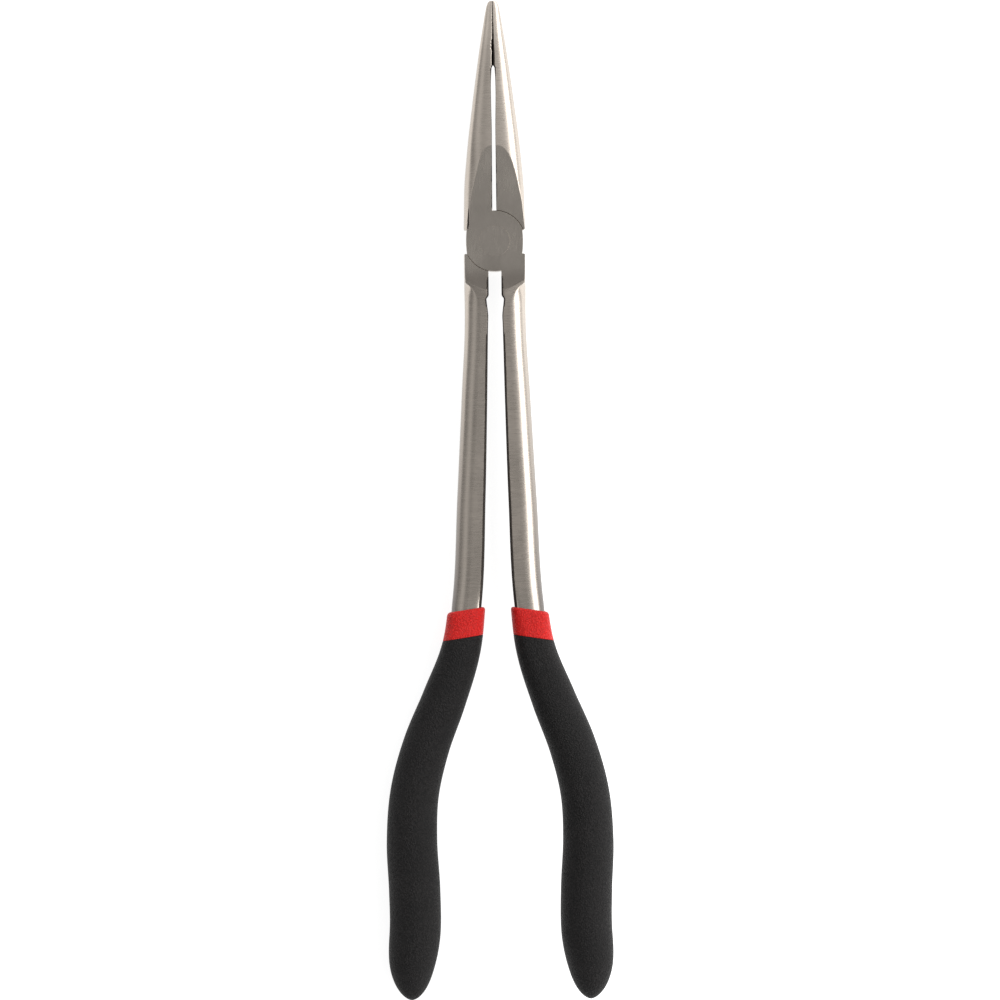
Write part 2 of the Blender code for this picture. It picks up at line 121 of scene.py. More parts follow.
def spaced(*stretches):
    """Places in metres from stretches of (start, end, count) in millimetres; shared ends are kept once."""
    return np.unique(np.concatenate([np.linspace(a, b, n) for a, b, n in stretches]).round(5)) * MM


def in_order(*places):
    """Several arrays of places as one, sorted, with those that coincide kept once."""
    return np.unique(np.concatenate(places).round(8))


# %% [markdown]
# ## Skins from grids
# Every new solid here is a grid of points: one row is a closed loop round the piece, and the rows follow
# each other along it. A skin joins neighbouring points with quads and closes the ends. Because the whole
# grid is one numpy array, a shape is a formula and not a pile of steps.

# %% A closed skin over a grid


def skin(name, rows, ends="flat"):
    """Closed mesh over rows of points (row, point round, xyz): neighbouring points are joined with quads, and
    the ends are flat faces, poles, or joined to each other as a ring. Its faces point outwards."""
    count, sides, _ = rows.shape
    points = rows.reshape(-1, 3)
    last = count if ends == "ring" else count - 1
    row, side = np.meshgrid(np.arange(last), np.arange(sides), indexing="ij")
    beyond, beside = (row + 1) % count, (side + 1) % sides
    quads = np.stack(
        [row * sides + side, row * sides + beside, beyond * sides + beside, beyond * sides + side], axis=-1
    ).reshape(-1, 4)
    faces = quads.tolist()
    first_ring, last_ring = np.arange(sides), (count - 1) * sides + np.arange(sides)
    if ends == "flat":
        faces += [first_ring[::-1].tolist(), last_ring.tolist()]
    if ends == "poles":
        points = np.vstack([points, rows[0].mean(axis=0), rows[-1].mean(axis=0)])
        pole = np.full(sides, count * sides)
        faces += np.stack([np.roll(first_ring, -1), first_ring, pole], axis=1).tolist()
        faces += np.stack([last_ring, np.roll(last_ring, -1), pole + 1], axis=1).tolist()
    mesh = bpy.data.meshes.new(name)
    mesh.from_pydata(points.tolist(), [], faces)
    solid = bmesh.new()
    solid.from_mesh(mesh)
    if solid.calc_volume(signed=True) < 0:
        bmesh.ops.reverse_faces(solid, faces=solid.faces)
    solid.to_mesh(mesh)
    solid.free()
    mesh.update()
    return mesh


def piece(name, mesh):
    """An object for the mesh, at the origin and unturned."""
    made = bpy.data.objects.new(name, mesh)
    bpy.context.scene.collection.objects.link(made)
    return made


# %% [markdown]
# ## The jaw's shape
# Each jaw is half of a long cone with a crowned back. Belt grinding leaves its section close to a
# superellipse, which is the curve |x/w|^n + |z/h|^n = 1: two is an ellipse, and larger powers are squarer.
# The forging is thicker than the joint at its root, and both faces are then ground flat, so the crown is
# cut off there and the flat dies out in an arch where the cone drops below the grinding plane. The lap
# side is ground a little further round than the other one, which is why each side has its own power.

# %% Jaw tables
JAW_FOOT = 3.1 * MM  # pivot axis to the shoulder under the jaw
GROUND_REACH = 26.8 * MM  # pivot axis to where the crown drops below the ground face
ON_PLANE = 1e-5 * MM  # points this close to a grinding plane are put exactly in it
TIP_HALF_THICKNESS = 1.5 * MM
TIP_ROUNDING = 14.0 * MM
TIP_DROP = 0.48  # share of its thickness that the tip loses
CORNER = 0.35 * MM  # rounding of the shoulders' outer corners
CROWN_STEPS, EDGE_STEPS, FLAT_STEPS, LIP_STEPS = 30, 6, 9, 5  # points of each stretch of a section

# place from the pivot, half width
JAW_WIDTHS = (
    (2.0, 8.65), (8.1, 8.55), (15.5, 8.35), (22.2, 7.80), (29.0, 7.10), (35.7, 6.25), (42.5, 5.38),
    (49.2, 4.45), (55.3, 3.55), (60.7, 2.66), (64.4, 2.02), (66.5, 1.50), (67.1, 1.18), (67.4, 0.80),
)
# place from the pivot, power of the section on the lap side and on the other side
JAW_POWERS = (
    (3.1, 3.20, 7.0), (7.0, 3.05, 5.6), (10.8, 3.02, 4.8), (14.4, 2.78, 3.9), (17.2, 2.67, 3.7),
    (22.3, 2.68, 3.5), (26.5, 2.95, 3.3), (31.0, 3.1, 3.2), (42.5, 3.1, 2.9), (49.2, 3.0, 2.8),
    (60.7, 2.7, 2.6), (67.4, 2.6, 2.6),
)
# place from the pivot, width of the softened edge beside the ground face on the lap side, and opposite
EDGE_SOFTNESS = (
    (3.1, 0.55, 0.10), (6.0, 0.34, 0.12), (10.0, 0.20, 0.14), (27.0, 0.16, 0.14), (67.4, 0.16, 0.14),
)


def jaw_half_thickness(y):
    """Straight taper from the joint's half thickness, where the ground face ends, to that of the tip."""
    taper = (MID - TIP_HALF_THICKNESS) / (JAW_REACH - GROUND_REACH)
    return TIP_HALF_THICKNESS + taper * (JAW_REACH - y)


def shoulder_corner(beyond):
    """How far a shoulder's rounded corner stands back from the side, by the distance beyond the shoulder."""
    left_to_go = np.clip((CORNER - beyond) / CORNER, 0, 1)
    return CORNER * (1 - np.sqrt(1 - left_to_go**2))


# %% [markdown]
# ## The gripping faces
# The two jaws don't meet along their whole length. From the joint a narrow relief slot runs up between
# them, and only the last part towards the tip is a gripping face, cut with fine teeth. The teeth slant a
# little and the whole face leans a little, so that two identical halves cross their teeth and no light
# passes between them. The upper edges of the faces are broken back, most of all beside the slot, so a dark
# V shows between two faces that meet lower down. The face is a table of its distance from the middle, and
# the teeth are a cosine wave whose place along the jaw moves with the height.

# %% Inner face and teeth
BITE_START = JAW_REACH - 18.8 * MM
BITE_LEAD = 0.6 * MM  # slope from the relief slot out to the toothed face
TOOTH_PITCH = 1.0 * MM
TOOTH_DEPTH = 0.30 * MM
TOOTH_STEPS = 6  # sections in one tooth
FIRST_TOOTH, LAST_TOOTH = BITE_START + BITE_LEAD + TOOTH_PITCH, JAW_REACH - 1.2 * MM
TIP_EDGE = 0.9 * MM  # last part of the tip, where the sections crowd together
TOOTH_SLANT = 0.5  # how far a groove moves towards the tip as it rises
TOOTH_RUN_OUT = 0.5 * MM  # length over which a groove dies out below the upper edge
FACE_LEAN = 0.05  # how far the gripping face falls back as it rises
WALL_STEPS = 14  # points from the upper edge down to the middle

# place from the pivot, distance of the inner face from the middle plane without its teeth
INNER_FACE = (
    (0.0, 0.56), (8.5, 0.56), (30.0, 0.50), (48.4, 0.43), (48.8, 0.40), (49.3, 0.05), (50.0, 0.03),
    (67.4, 0.03),
)
# place from the pivot, how far the edge is broken back across, and down
BROKEN_EDGE = (
    (0.0, 0.08, 0.08), (40.0, 0.10, 0.10), (46.0, 0.12, 0.25), (49.0, 0.36, 1.1), (50.5, 0.40, 1.2),
    (54.8, 0.36, 1.1), (59.0, 0.22, 0.8), (64.4, 0.12, 0.4), (67.4, 0.05, 0.15),
)
# the three grooves that run out over the upper edge on the lap side lie between these places
OPEN_GROOVES = (53.45 * MM, 56.45 * MM)


def tooth_wave(y):
    """Depth of the grooves at each place: half of 1 - cos, once per tooth, from the first to the last."""
    wave = 0.5 - 0.5 * np.cos(2 * math.pi * (y - FIRST_TOOTH) / TOOTH_PITCH)
    return TOOTH_DEPTH * wave * ((y > FIRST_TOOTH) & (y < LAST_TOOTH))


jaw_places = in_order(
    JAW_FOOT + CORNER * (1 - np.cos(np.linspace(0, math.pi / 2, 6))),
    spaced((3.6, 24.0, 42), (24.0, 26.2, 12), (26.2, 27.2, 21), (27.2, 48.0, 40), (48.0, 49.6, 9)),
    np.arange(FIRST_TOOTH, LAST_TOOTH, TOOTH_PITCH / TOOTH_STEPS),
    JAW_REACH - TIP_EDGE * (1 - np.sin(np.linspace(0, math.pi / 2, 9))),
)
print(f"{len(jaw_places)} sections along a jaw, {round((LAST_TOOTH - FIRST_TOOTH) / TOOTH_PITCH)} teeth")

# %% [markdown]
# ## One side of the jaw's section
# A section is described from its widest point up over the crown, along the ground flat, over the broken
# edge and down the inner face to the middle. Every stretch gets its own number of points, so the edge of
# the ground face stays crisp and has a real, small rounding that catches the light, which a plain Boolean
# cut wouldn't leave.

# %% Section of the jaw


def superellipse_height(x, width, height, power):
    """z of the curve |x/w|^n + |z/h|^n = 1."""
    return height * np.clip(1 - np.clip(x / width, 0, 1) ** power, 0, None) ** (1 / power)


def bend(start, corner, end, count):
    """Quadratic Bezier from start to end with the corner as its control point, as (place, point) arrays."""
    t = np.linspace(0, 1, count)[None, :]
    return (1 - t) ** 2 * start[:, None] + 2 * t * (1 - t) * corner[:, None] + t**2 * end[:, None]


def jaw_side(y, power_column):
    """(across, up) from the widest point over one face to the middle of the inner face, for each place y."""
    width = through(JAW_WIDTHS, 1, y) * MM - shoulder_corner(y - JAW_FOOT)
    height = jaw_half_thickness(y)
    into_tip = np.clip((y - JAW_REACH + TIP_ROUNDING) / TIP_ROUNDING, 0, 1)
    height = height * (1 - TIP_DROP * into_tip**2)
    power = through(JAW_POWERS, power_column, y)
    face = through(INNER_FACE, 1, y) * MM
    broken = through(BROKEN_EDGE, 1, y) * MM
    broken_down = np.minimum(through(BROKEN_EDGE, 2, y) * MM, 0.5 * height)
    facing = 1 if power_column == 1 else -1
    lean = facing * FACE_LEAN * ease(y, BITE_START - 0.5 * MM, BITE_START + 1.5 * MM)
    open_groove = ((y > OPEN_GROOVES[0]) & (y < OPEN_GROOVES[1])) * (facing > 0)

    def top(x):
        return np.minimum(superellipse_height(x, width, height, power), MID)

    # the upper edge of the inner face, and the face below it from there down to the middle plane
    lip = top(face + broken)
    edge = face + broken + lean * lip + open_groove * tooth_wave(y - TOOTH_SLANT * facing * lip)
    lip = top(edge)
    low = lip - broken_down
    wall_z = low[:, None] * np.linspace(1, 0, WALL_STEPS)[None, :]
    dying_out = (1 - open_groove[:, None]) * ease(wall_z, low[:, None] - TOOTH_RUN_OUT, low[:, None])
    wave = tooth_wave(y[:, None] - TOOTH_SLANT * facing * wall_z) * (1 - dying_out)
    wall_x = face[:, None] + lean[:, None] * wall_z + wave

    # the corner between the crown and the ground flat
    flat = np.clip(1 - (MID / np.maximum(height, MID)) ** power, 0, None) ** (1 / power) * width
    corner = np.maximum(flat, edge + 0.06 * MM)
    soft = np.minimum(through(EDGE_SOFTNESS, power_column, y) * MM, 0.4 * (corner - edge))
    soft = np.minimum(soft, 0.45 * (width - corner))

    # crown: equal steps of the superellipse's own angle, from the widest point to the softened edge
    end_angle = np.arccos(np.clip((corner + soft) / width, 0, 1) ** (power / 2))
    angle = end_angle[:, None] * np.linspace(0, 1, CROWN_STEPS)[None, :]
    crown_x = width[:, None] * np.cos(angle) ** (2 / power[:, None])
    crown_z = np.minimum(height[:, None] * np.sin(angle) ** (2 / power[:, None]), MID)
    turn_x = bend(corner + soft, corner, corner - soft, EDGE_STEPS)
    turn_z = bend(top(corner + soft), top(corner), top(corner - soft), EDGE_STEPS)
    share = np.linspace(0, 1, FLAT_STEPS)[None, :]
    flat_x = (corner - soft)[:, None] * (1 - share) + edge[:, None] * share
    flat_z = np.minimum(superellipse_height(flat_x, width[:, None], height[:, None], power[:, None]), MID)
    lip_x = bend(edge, 0.7 * wall_x[:, 0] + 0.3 * edge, wall_x[:, 0], LIP_STEPS)
    lip_z = bend(lip, lip, low, LIP_STEPS)
    across = np.hstack([crown_x[:, :-1], turn_x[:, :-1], flat_x[:, :-1], lip_x[:, :-1], wall_x])
    up = np.hstack([crown_z[:, :-1], turn_z[:, :-1], flat_z[:, :-1], lip_z[:, :-1], wall_z])
    return across, up


def levelled(rows):
    """Rows whose points beyond a grinding plane, or nearly in it, are put exactly in it."""
    z = rows[..., 2]
    z[z > JOINT_THICKNESS - ON_PLANE], z[z < ON_PLANE] = JOINT_THICKNESS, 0.0
    return rows


def jaw_blank():
    """The jaw with the lap side's profile above the middle plane and the other side's below it, mirrored."""
    lap_x, lap_z = jaw_side(jaw_places, 1)
    far_x, far_z = jaw_side(jaw_places, 2)
    across = np.hstack([lap_x, far_x[:, -2:0:-1]])
    up = np.hstack([lap_z, -far_z[:, -2:0:-1]])
    y = np.repeat(jaw_places[:, None], across.shape[1], axis=1)
    return skin("jaw_blank", levelled(np.stack([-across, y, MID + up], axis=-1)))


# %% [markdown]
# ## The handle's shape
# Below the joint the forging is a square block. It turns into a bar that is flat on the inner side and
# rounded on the outer side, runs down to the grip, and goes on inside it as a thinner tang. The section is
# a superellipse again, but its two sides differ: the inner one is nearly square, and the outer one changes
# from a sharp block corner to a full rounding. Where the block stands proud of the joint's thickness it is
# ground flat together with the joint. That flat ends on a slanting, slightly bowed line, so the sections
# themselves are slanted and bowed there.

# %% Handle tables
HANDLE_TOP = 3.6 * MM  # these are depths below the pivot
ROUNDING_START, ROUNDING_END = 13.0 * MM, 17.6 * MM
BLOCK_SLANT, BLOCK_BOW = math.radians(25.0), 0.45 * MM
GRIP_TOP = 103.2 * MM
COLLAR_FOOT = 111.1 * MM
GRIP_LENGTH = HANDLE_REACH - GRIP_TOP
BAR_HALF_THICKNESS = 3.9 * MM
TANG_HALF_WIDTH, TANG_HALF_THICKNESS = 3.45 * MM, 3.2 * MM
TANG_TIP_WIDTH, TANG_TIP_THICKNESS = 1.9 * MM, 1.8 * MM
TANG_TAPER = 20.0 * MM
BLOCK_ROUNDING, BAR_ROUNDING = 0.4 * MM, 4.7 * MM
OUTER_POWER, TANG_OUTER_POWER = 2.3, 2.5
INNER_POWER, POWER_LOST_BEFORE_GRIP, POWER_LOST_IN_GRIP = 22, 15, 4
ROOT_CENTRE = (1.8 * MM + JOINT_HALF_WIDTH) / 2  # the slot between the two roots is 3.6 mm wide

# depth below the pivot, half thickness as forged; it is ground flat where that is more than half the joint's
BAR_HEIGHTS = (
    (3.6, 5.20), (9.5, 5.04), (12.3, 4.75), (14.5, 4.42), (20.0, 4.06), (29.0, 3.90), (33.0, 3.90),
    (100.0, 3.90),
)
# depth below the pivot, half width
BAR_WIDTHS = ((15.1, 3.42), (20.4, 3.30), (44.2, 3.60), (72.4, 3.98), (100.6, 4.14))
# depth below the pivot, how far the handle's line stands out from the root's
HANDLE_LINE = (
    (15.1, 0.0), (20.4, 0.05), (44.2, 0.86), (72.4, 1.98), (100.6, 3.40), (112.1, 4.90), (128.6, 10.3),
    (141.1, 15.2), (154.3, 18.6), (168.0, 19.5), (181.3, 18.9), (192.4, 18.8), (203.1, 19.8), (212.6, 19.9),
)
# depth below the pivot, how far the forging's inner side stands back where the slot runs out
SLOT_RELIEF = ((13.3, 0.0), (13.7, 0.1), (14.5, 0.58), (15.7, 0.52), (18.0, 0.2), (19.9, 0.0), (22.0, 0.0))


def handle_line(depth):
    """Sideways place of the handle's middle at a depth below the pivot."""
    return ROOT_CENTRE + through(HANDLE_LINE, 1, depth) * MM


def line_angle(depth):
    """Angle by which a section square to the handle's line is turned from straight across."""
    step = 0.5 * MM
    return np.arctan((handle_line(depth + step) - handle_line(depth - step)) / (2 * step))


def on_handle(depth, across, up, turn=None):
    """Carries sections along the handle: each row's points stand on a plane turned from straight across by
    an angle, square to the line unless one is given, and are stretched so the tube keeps its true width."""
    square = line_angle(depth)
    turn = square if turn is None else turn
    stretch = 1 / np.cos(turn - square)
    x = handle_line(depth)[:, None] + across * (stretch * np.cos(turn))[:, None]
    y = -depth[:, None] + across * (stretch * np.sin(turn))[:, None]
    return np.stack([x, y, MID + up], axis=-1)


# %% Section of the steel handle


def steel_size(depth):
    """Half width and half thickness of the steel: the tables' curves, less a step inside the collar and a
    taper at the tang's end."""
    into_grip = ease(depth, GRIP_TOP, COLLAR_FOOT)
    to_tip = ease(depth, TANG_END - TANG_TAPER, TANG_END)
    width = through(BAR_WIDTHS, 1, depth) * MM
    width = width - (BAR_WIDTHS[-1][1] * MM - TANG_HALF_WIDTH) * into_grip
    height = through(BAR_HEIGHTS, 1, depth) * MM
    height = height - (BAR_HALF_THICKNESS - TANG_HALF_THICKNESS) * into_grip
    width = width - (TANG_HALF_WIDTH - TANG_TIP_WIDTH) * to_tip
    return width, height - (TANG_HALF_THICKNESS - TANG_TIP_THICKNESS) * to_tip


def section_powers(depth):
    """Powers of the outer and the inner side, and how far the section has changed into the tang's oval."""
    in_grip = ease(depth, GRIP_TOP - 8 * MM, COLLAR_FOOT + 8 * MM)
    before_grip = ease(depth, GRIP_TOP - 12 * MM, GRIP_TOP - 2 * MM)
    inner = INNER_POWER - POWER_LOST_BEFORE_GRIP * before_grip - POWER_LOST_IN_GRIP * in_grip
    return OUTER_POWER + (TANG_OUTER_POWER - OUTER_POWER) * in_grip, inner, in_grip


def steel_section(depth, steps=24):
    """(across, up) round the steel at each depth: a quarter of a superellipse on the outer side, the flat,
    and a quarter on the inner side, mirrored below the middle plane."""
    width, height = steel_size(depth)
    outer_power, inner_power, in_grip = section_powers(depth)
    left_to_go = np.clip((ROUNDING_END - depth) / (ROUNDING_END - ROUNDING_START), 0, 1)
    rounding = BLOCK_ROUNDING + (BAR_ROUNDING - BLOCK_ROUNDING) * np.sqrt(1 - left_to_go**2)
    crown = (width - rounding) * (1 - in_grip)
    outer = width - shoulder_corner(depth - HANDLE_TOP)
    inner = width - through(SLOT_RELIEF, 1, depth) * MM
    nearly_up = math.radians(88.0)

    def quarter(reach, power):
        """One quarter from the side up to where the ground plane, or the crown's top, is reached."""
        cut = np.arcsin(np.minimum((MID / np.maximum(height, MID)) ** (power / 2), math.sin(nearly_up)))
        angle = cut[:, None] * np.linspace(0, 1, steps)[None, :]
        exponent = 2 / power[:, None]
        return reach[:, None] * np.cos(angle) ** exponent, height[:, None] * np.sin(angle) ** exponent

    outer_x, outer_z = quarter(outer - crown, outer_power)
    inner_x, inner_z = quarter(inner + crown, inner_power)
    outer_x, inner_x = crown[:, None] + outer_x, crown[:, None] - inner_x
    share = np.linspace(0, 1, FLAT_STEPS)[None, 1:-1]
    flat_x = outer_x[:, -1:] * (1 - share) + inner_x[:, -1:] * share
    level = np.minimum(height, MID)
    outer_z[:, -1], inner_z[:, -1] = level, level
    flat_z = np.repeat(level[:, None], flat_x.shape[1], axis=1)
    across = np.hstack([outer_x, flat_x, inner_x[:, ::-1]])
    up = np.hstack([outer_z, flat_z, inner_z[:, ::-1]])
    return np.hstack([across, across[:, -2:0:-1]]), np.hstack([up, -up[:, -2:0:-1]])


handle_depths = in_order(
    HANDLE_TOP + CORNER * (1 - np.cos(np.linspace(0, math.pi / 2, 6))),
    spaced((4.2, 9.8, 8), (9.8, 22.0, 62), (22.0, 30.0, 14), (30.0, 101.0, 64), (101.0, 112.0, 12)),
    spaced((112.0, TANG_END / MM, 60)),
)


def handle_blank():
    """The right-hand handle, from its shoulder to the end of the tang. Where its rows slant they also bow, by
    1 - u^2 with u from -1 to 1 across."""
    across, up = steel_section(handle_depths)
    slanting = ease(handle_depths, 5.5 * MM, 10.0 * MM) * (1 - ease(handle_depths, 14.0 * MM, 28.0 * MM))
    rows = on_handle(handle_depths, across, up, line_angle(handle_depths) + BLOCK_SLANT * slanting)
    half_width = steel_size(handle_depths)[0]
    rows[..., 1] -= BLOCK_BOW * slanting[:, None] * (1 - (across / half_width[:, None]) ** 2)
    return skin("handle_blank", levelled(rows))


# %% [markdown]
# ## The lap joint
# In the joint each forging is only half as thick: a round lap that turns in a round recess of the other
# forging. The lap is a slice of a cylinder whose two sides are ground nearly flat, and the seam round it is
# the thin dark arc that one sees. Laps, recess and rivet seat are turned shapes, so each is a profile of
# radius and height swept round the pivot's axis. Exact Booleans join and cut them, because the true line of
# intersection is what has to show.

# %% Turned shapes, the lap and its recess
LAP_RADIUS = 8.5 * MM
SEAM = 0.12 * MM  # between the lap and the recess it turns in
LAP_EDGE = 0.06 * MM  # broken edge of the lap
WAIST_HALF_WIDTH, WAIST_BULGE, WAIST_REACH = 7.78 * MM, 0.20 * MM, 3.6 * MM
TURN_STEPS = 288
OVERRUN = 1.0 * MM  # how far a cutter runs clear of what it cuts


def turned(name, profile, steps, radius_at=None):
    """Profile points (radius, height) swept round the pivot's axis. radius_at gives the largest radius at
    each angle, and the whole profile is drawn in to it."""
    angle = 2 * math.pi * np.arange(steps) / steps
    radius, height = (np.array(column)[:, None] for column in zip(*profile))
    reach = radius
    if radius_at is not None:
        reach = np.minimum(radius, radius_at(angle)[None, :] + radius - radius.max())
    x, y = reach * np.cos(angle), reach * np.sin(angle)
    return skin(name, np.stack([x, y, height + 0 * x], axis=-1), "poles")


def waist(angle):
    """Distance from the axis to the nearly flat sides: a parabola, widest level with the pivot."""
    across = np.maximum(np.abs(np.cos(angle)), 1e-3)
    reach = (WAIST_HALF_WIDTH + WAIST_BULGE) / across
    sideways = reach * np.abs(np.sin(angle))
    bulge = WAIST_BULGE * np.clip(1 - (sideways / WAIST_REACH) ** 2, -1, 1)
    return (WAIST_HALF_WIDTH + bulge) / across


def lap_blank():
    """The lap: a slice of a cylinder with a broken upper edge, its two sides drawn in to the waist."""
    profile = [
        (LAP_RADIUS, MID - OVERRUN),
        (LAP_RADIUS, JOINT_THICKNESS - LAP_EDGE),
        (LAP_RADIUS - LAP_EDGE, JOINT_THICKNESS),
    ]
    return turned("lap_blank", profile, TURN_STEPS, waist)


def recess_cutter():
    """What the other half's lap needs: a cylinder one seam larger, with a bevel at the lower face."""
    hole = LAP_RADIUS + SEAM
    profile = [(hole + LAP_EDGE + OVERRUN, -OVERRUN), (hole, LAP_EDGE), (hole, MID + SEAM / 4)]
    return turned("recess_cutter", profile, TURN_STEPS)


# %% [markdown]
# ## The rivet
# The rivet has a countersunk head on each side, ground flush with the forgings, so that only a hair-thin
# ring shows. Its seat in the forgings is the same profile, about a hundredth of a millimetre larger.

# %% The rivet and its seat
RIVET_SHANK = 3.0 * MM
RIVET_HEAD_DEPTH = 1.3 * MM
RIVET_CLEARANCE = 0.012 * MM
RIVET_EDGE, RIVET_STEPS = 0.02 * MM, 128


def rivet_profile(grow=0.0, overrun=0.0, edge=0.0):
    """Outer side of the rivet from its lower to its upper face, grown all round and run past both faces."""
    flare = (RIVET_HEAD - RIVET_SHANK) / RIVET_HEAD_DEPTH
    head = RIVET_HEAD + grow + flare * overrun
    shank = RIVET_SHANK + grow
    low = [(head - edge, -overrun), (head - edge * flare / 2, edge - overrun), (shank, RIVET_HEAD_DEPTH)]
    return low + [(radius, JOINT_THICKNESS - height) for radius, height in reversed(low)]


rivet = piece("flush_rivet", turned("flush_rivet", rivet_profile(edge=RIVET_EDGE), RIVET_STEPS))
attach(rivet, "right_side")
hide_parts("pivot_rivet")

# %% [markdown]
# ## Joining the forging
# The jaw, the lap and the handle are joined, and the recess and the rivet seat are cut. The faces that lie in
# one of the two grinding planes are ground. Their borders are marked sharp, so that they shade flat right up
# to the edge, and they carry an attribute that the steel's finish reads. A second attribute marks where the
# steel is painted nearly black as shade: the inner sides in the slot and between the handles, a wedge beside
# the jaw's foot, and the broken edges above the teeth, but not the teeth. A third one marks the lower end of
# the ground face, which is painted a little darker as shade, and a fourth the outer sides of the bars, which
# are painted darker as shade towards the grips. Each attribute is a product of fades, and every fade has a
# start and an end.

# %% Where the finishes begin and end
# fades in millimetres: inwards over the slot's rim, and up from the pivot for the slot and for the teeth
SLOT_RIM, SLOT_FROM, TEETH_FROM = (-0.05, 0.03), (8.5, 9.5), (48.6, 49.2)
# fades in millimetres down from the pivot
BAR_SIDE_FROM, BLOCK_FROM, BLOCK_EDGE_TO, GROUND_END = (18.0, 32.0), (9.5, 10.5), (17.0, 20.0), (6.5, 11.0)
# fades as shares of the jaw's half thickness, and of the bar's or the block's half width towards the middle
TEETH_HEIGHT = (0.40, 0.52)
BAR_SIDE, BLOCK_EDGE, BLOCK_SIDE, SIDE_SHADE_EDGE = (0.78, 0.86), (0.83, 0.90), (0.92, 0.97), (0.58, 0.80)
RELIEF_SHIFT = 1.6 * MM  # the slanting sections carry the relief this far down the inner side
# where the painted shade along the bars' outer sides starts, and the length over which it grows
SIDE_SHADE_FROM, SIDE_SHADE_LENGTH = 20.0 * MM, 85.0 * MM
# the wedge of painted shade beside the jaw's foot: its inner side across, then its start, its end and its
# taper going up
WEDGE_SIDE, WEDGE_FROM, WEDGE_TO, WEDGE_TAPER = (-7.20, -6.95), (2.0, 3.2), (8.0, 11.0), (2.5, 11.0)
WEDGE_WIDTH, WEDGE_BORDER, WEDGE_SHARE = 0.55, 0.1, 0.85
MERGE = 0.0001 * MM
LEVEL, PLANE_BAND = 0.99999, 0.002 * MM  # a ground face looks straight up or down and lies in its plane

# %% The forging


def boolean(target, mesh, operation):
    """One exact Boolean, applied straight away."""
    tool = piece(mesh.name, mesh)
    modifier = target.modifiers.new(operation, "BOOLEAN")
    modifier.operation, modifier.solver, modifier.object = operation, "EXACT", tool
    bpy.context.view_layer.update()
    graph = bpy.context.evaluated_depsgraph_get()
    joined = bpy.data.meshes.new_from_object(target.evaluated_get(graph))
    target.modifiers.clear()
    target.data = joined
    bpy.data.objects.remove(tool)


def close_seams(mesh):
    """Merges the points that exact Booleans leave on top of each other, fills an opening of up to four sides
    that is left between them, and turns every face outwards."""
    solid = bmesh.new()
    solid.from_mesh(mesh)
    bmesh.ops.remove_doubles(solid, verts=solid.verts, dist=MERGE)
    bmesh.ops.holes_fill(solid, edges=[edge for edge in solid.edges if edge.is_boundary], sides=4)
    bmesh.ops.recalc_face_normals(solid, faces=solid.faces)
    print(f"open edges left on the forging: {sum(not edge.is_manifold for edge in solid.edges)}")
    solid.to_mesh(mesh)
    solid.free()


def fade(at, span):
    """0 before the span and 1 after it, for a span in millimetres."""
    return ease(at, span[0] * MM, span[1] * MM)


def forge_skin(point):
    """Share of painted shade at each point, in the slot, between the handles and beside the jaw's foot, and
    how far the point lies inwards from the handle's line as a share of the steel's half width."""
    x, up, depth = point[0::3], point[1::3], -point[1::3]
    inner_width = steel_size(depth)[0] - through(SLOT_RELIEF, 1, depth - RELIEF_SHIFT) * MM
    inwards = (handle_line(depth) - x) / inner_width
    # painted shade on the inner sides of the bars and of the block, where the handles face each other
    bar_side = ease(inwards, *BAR_SIDE) * fade(depth, BAR_SIDE_FROM)
    block = ease(inwards, *BLOCK_EDGE) * fade(depth, BLOCK_FROM) * (1 - fade(depth, BLOCK_EDGE_TO))
    block = np.maximum(block, ease(inwards, *BLOCK_SIDE) * fade(depth, BLOCK_FROM))
    rim = (through(INNER_FACE, 1, up) + through(BROKEN_EDGE, 1, up)) * MM
    above_teeth = ease(np.abs(point[2::3] - MID) / jaw_half_thickness(up), *TEETH_HEIGHT)
    slot = fade(x + rim, SLOT_RIM) * fade(up, SLOT_FROM) * (1 - fade(up, TEETH_FROM) * (1 - above_teeth))
    outer = WEDGE_SIDE[0] * MM - WEDGE_WIDTH * MM * (1 - fade(up, WEDGE_TAPER))
    wedge = ease(x, outer - WEDGE_BORDER * MM, outer + WEDGE_BORDER * MM) * (1 - fade(x, WEDGE_SIDE))
    wedge = wedge * (1 - fade(up, WEDGE_TO)) * fade(up, WEDGE_FROM) * (point[2::3] > MID) * WEDGE_SHARE
    return np.clip(bar_side + slot + wedge + block, 0, 1), inwards


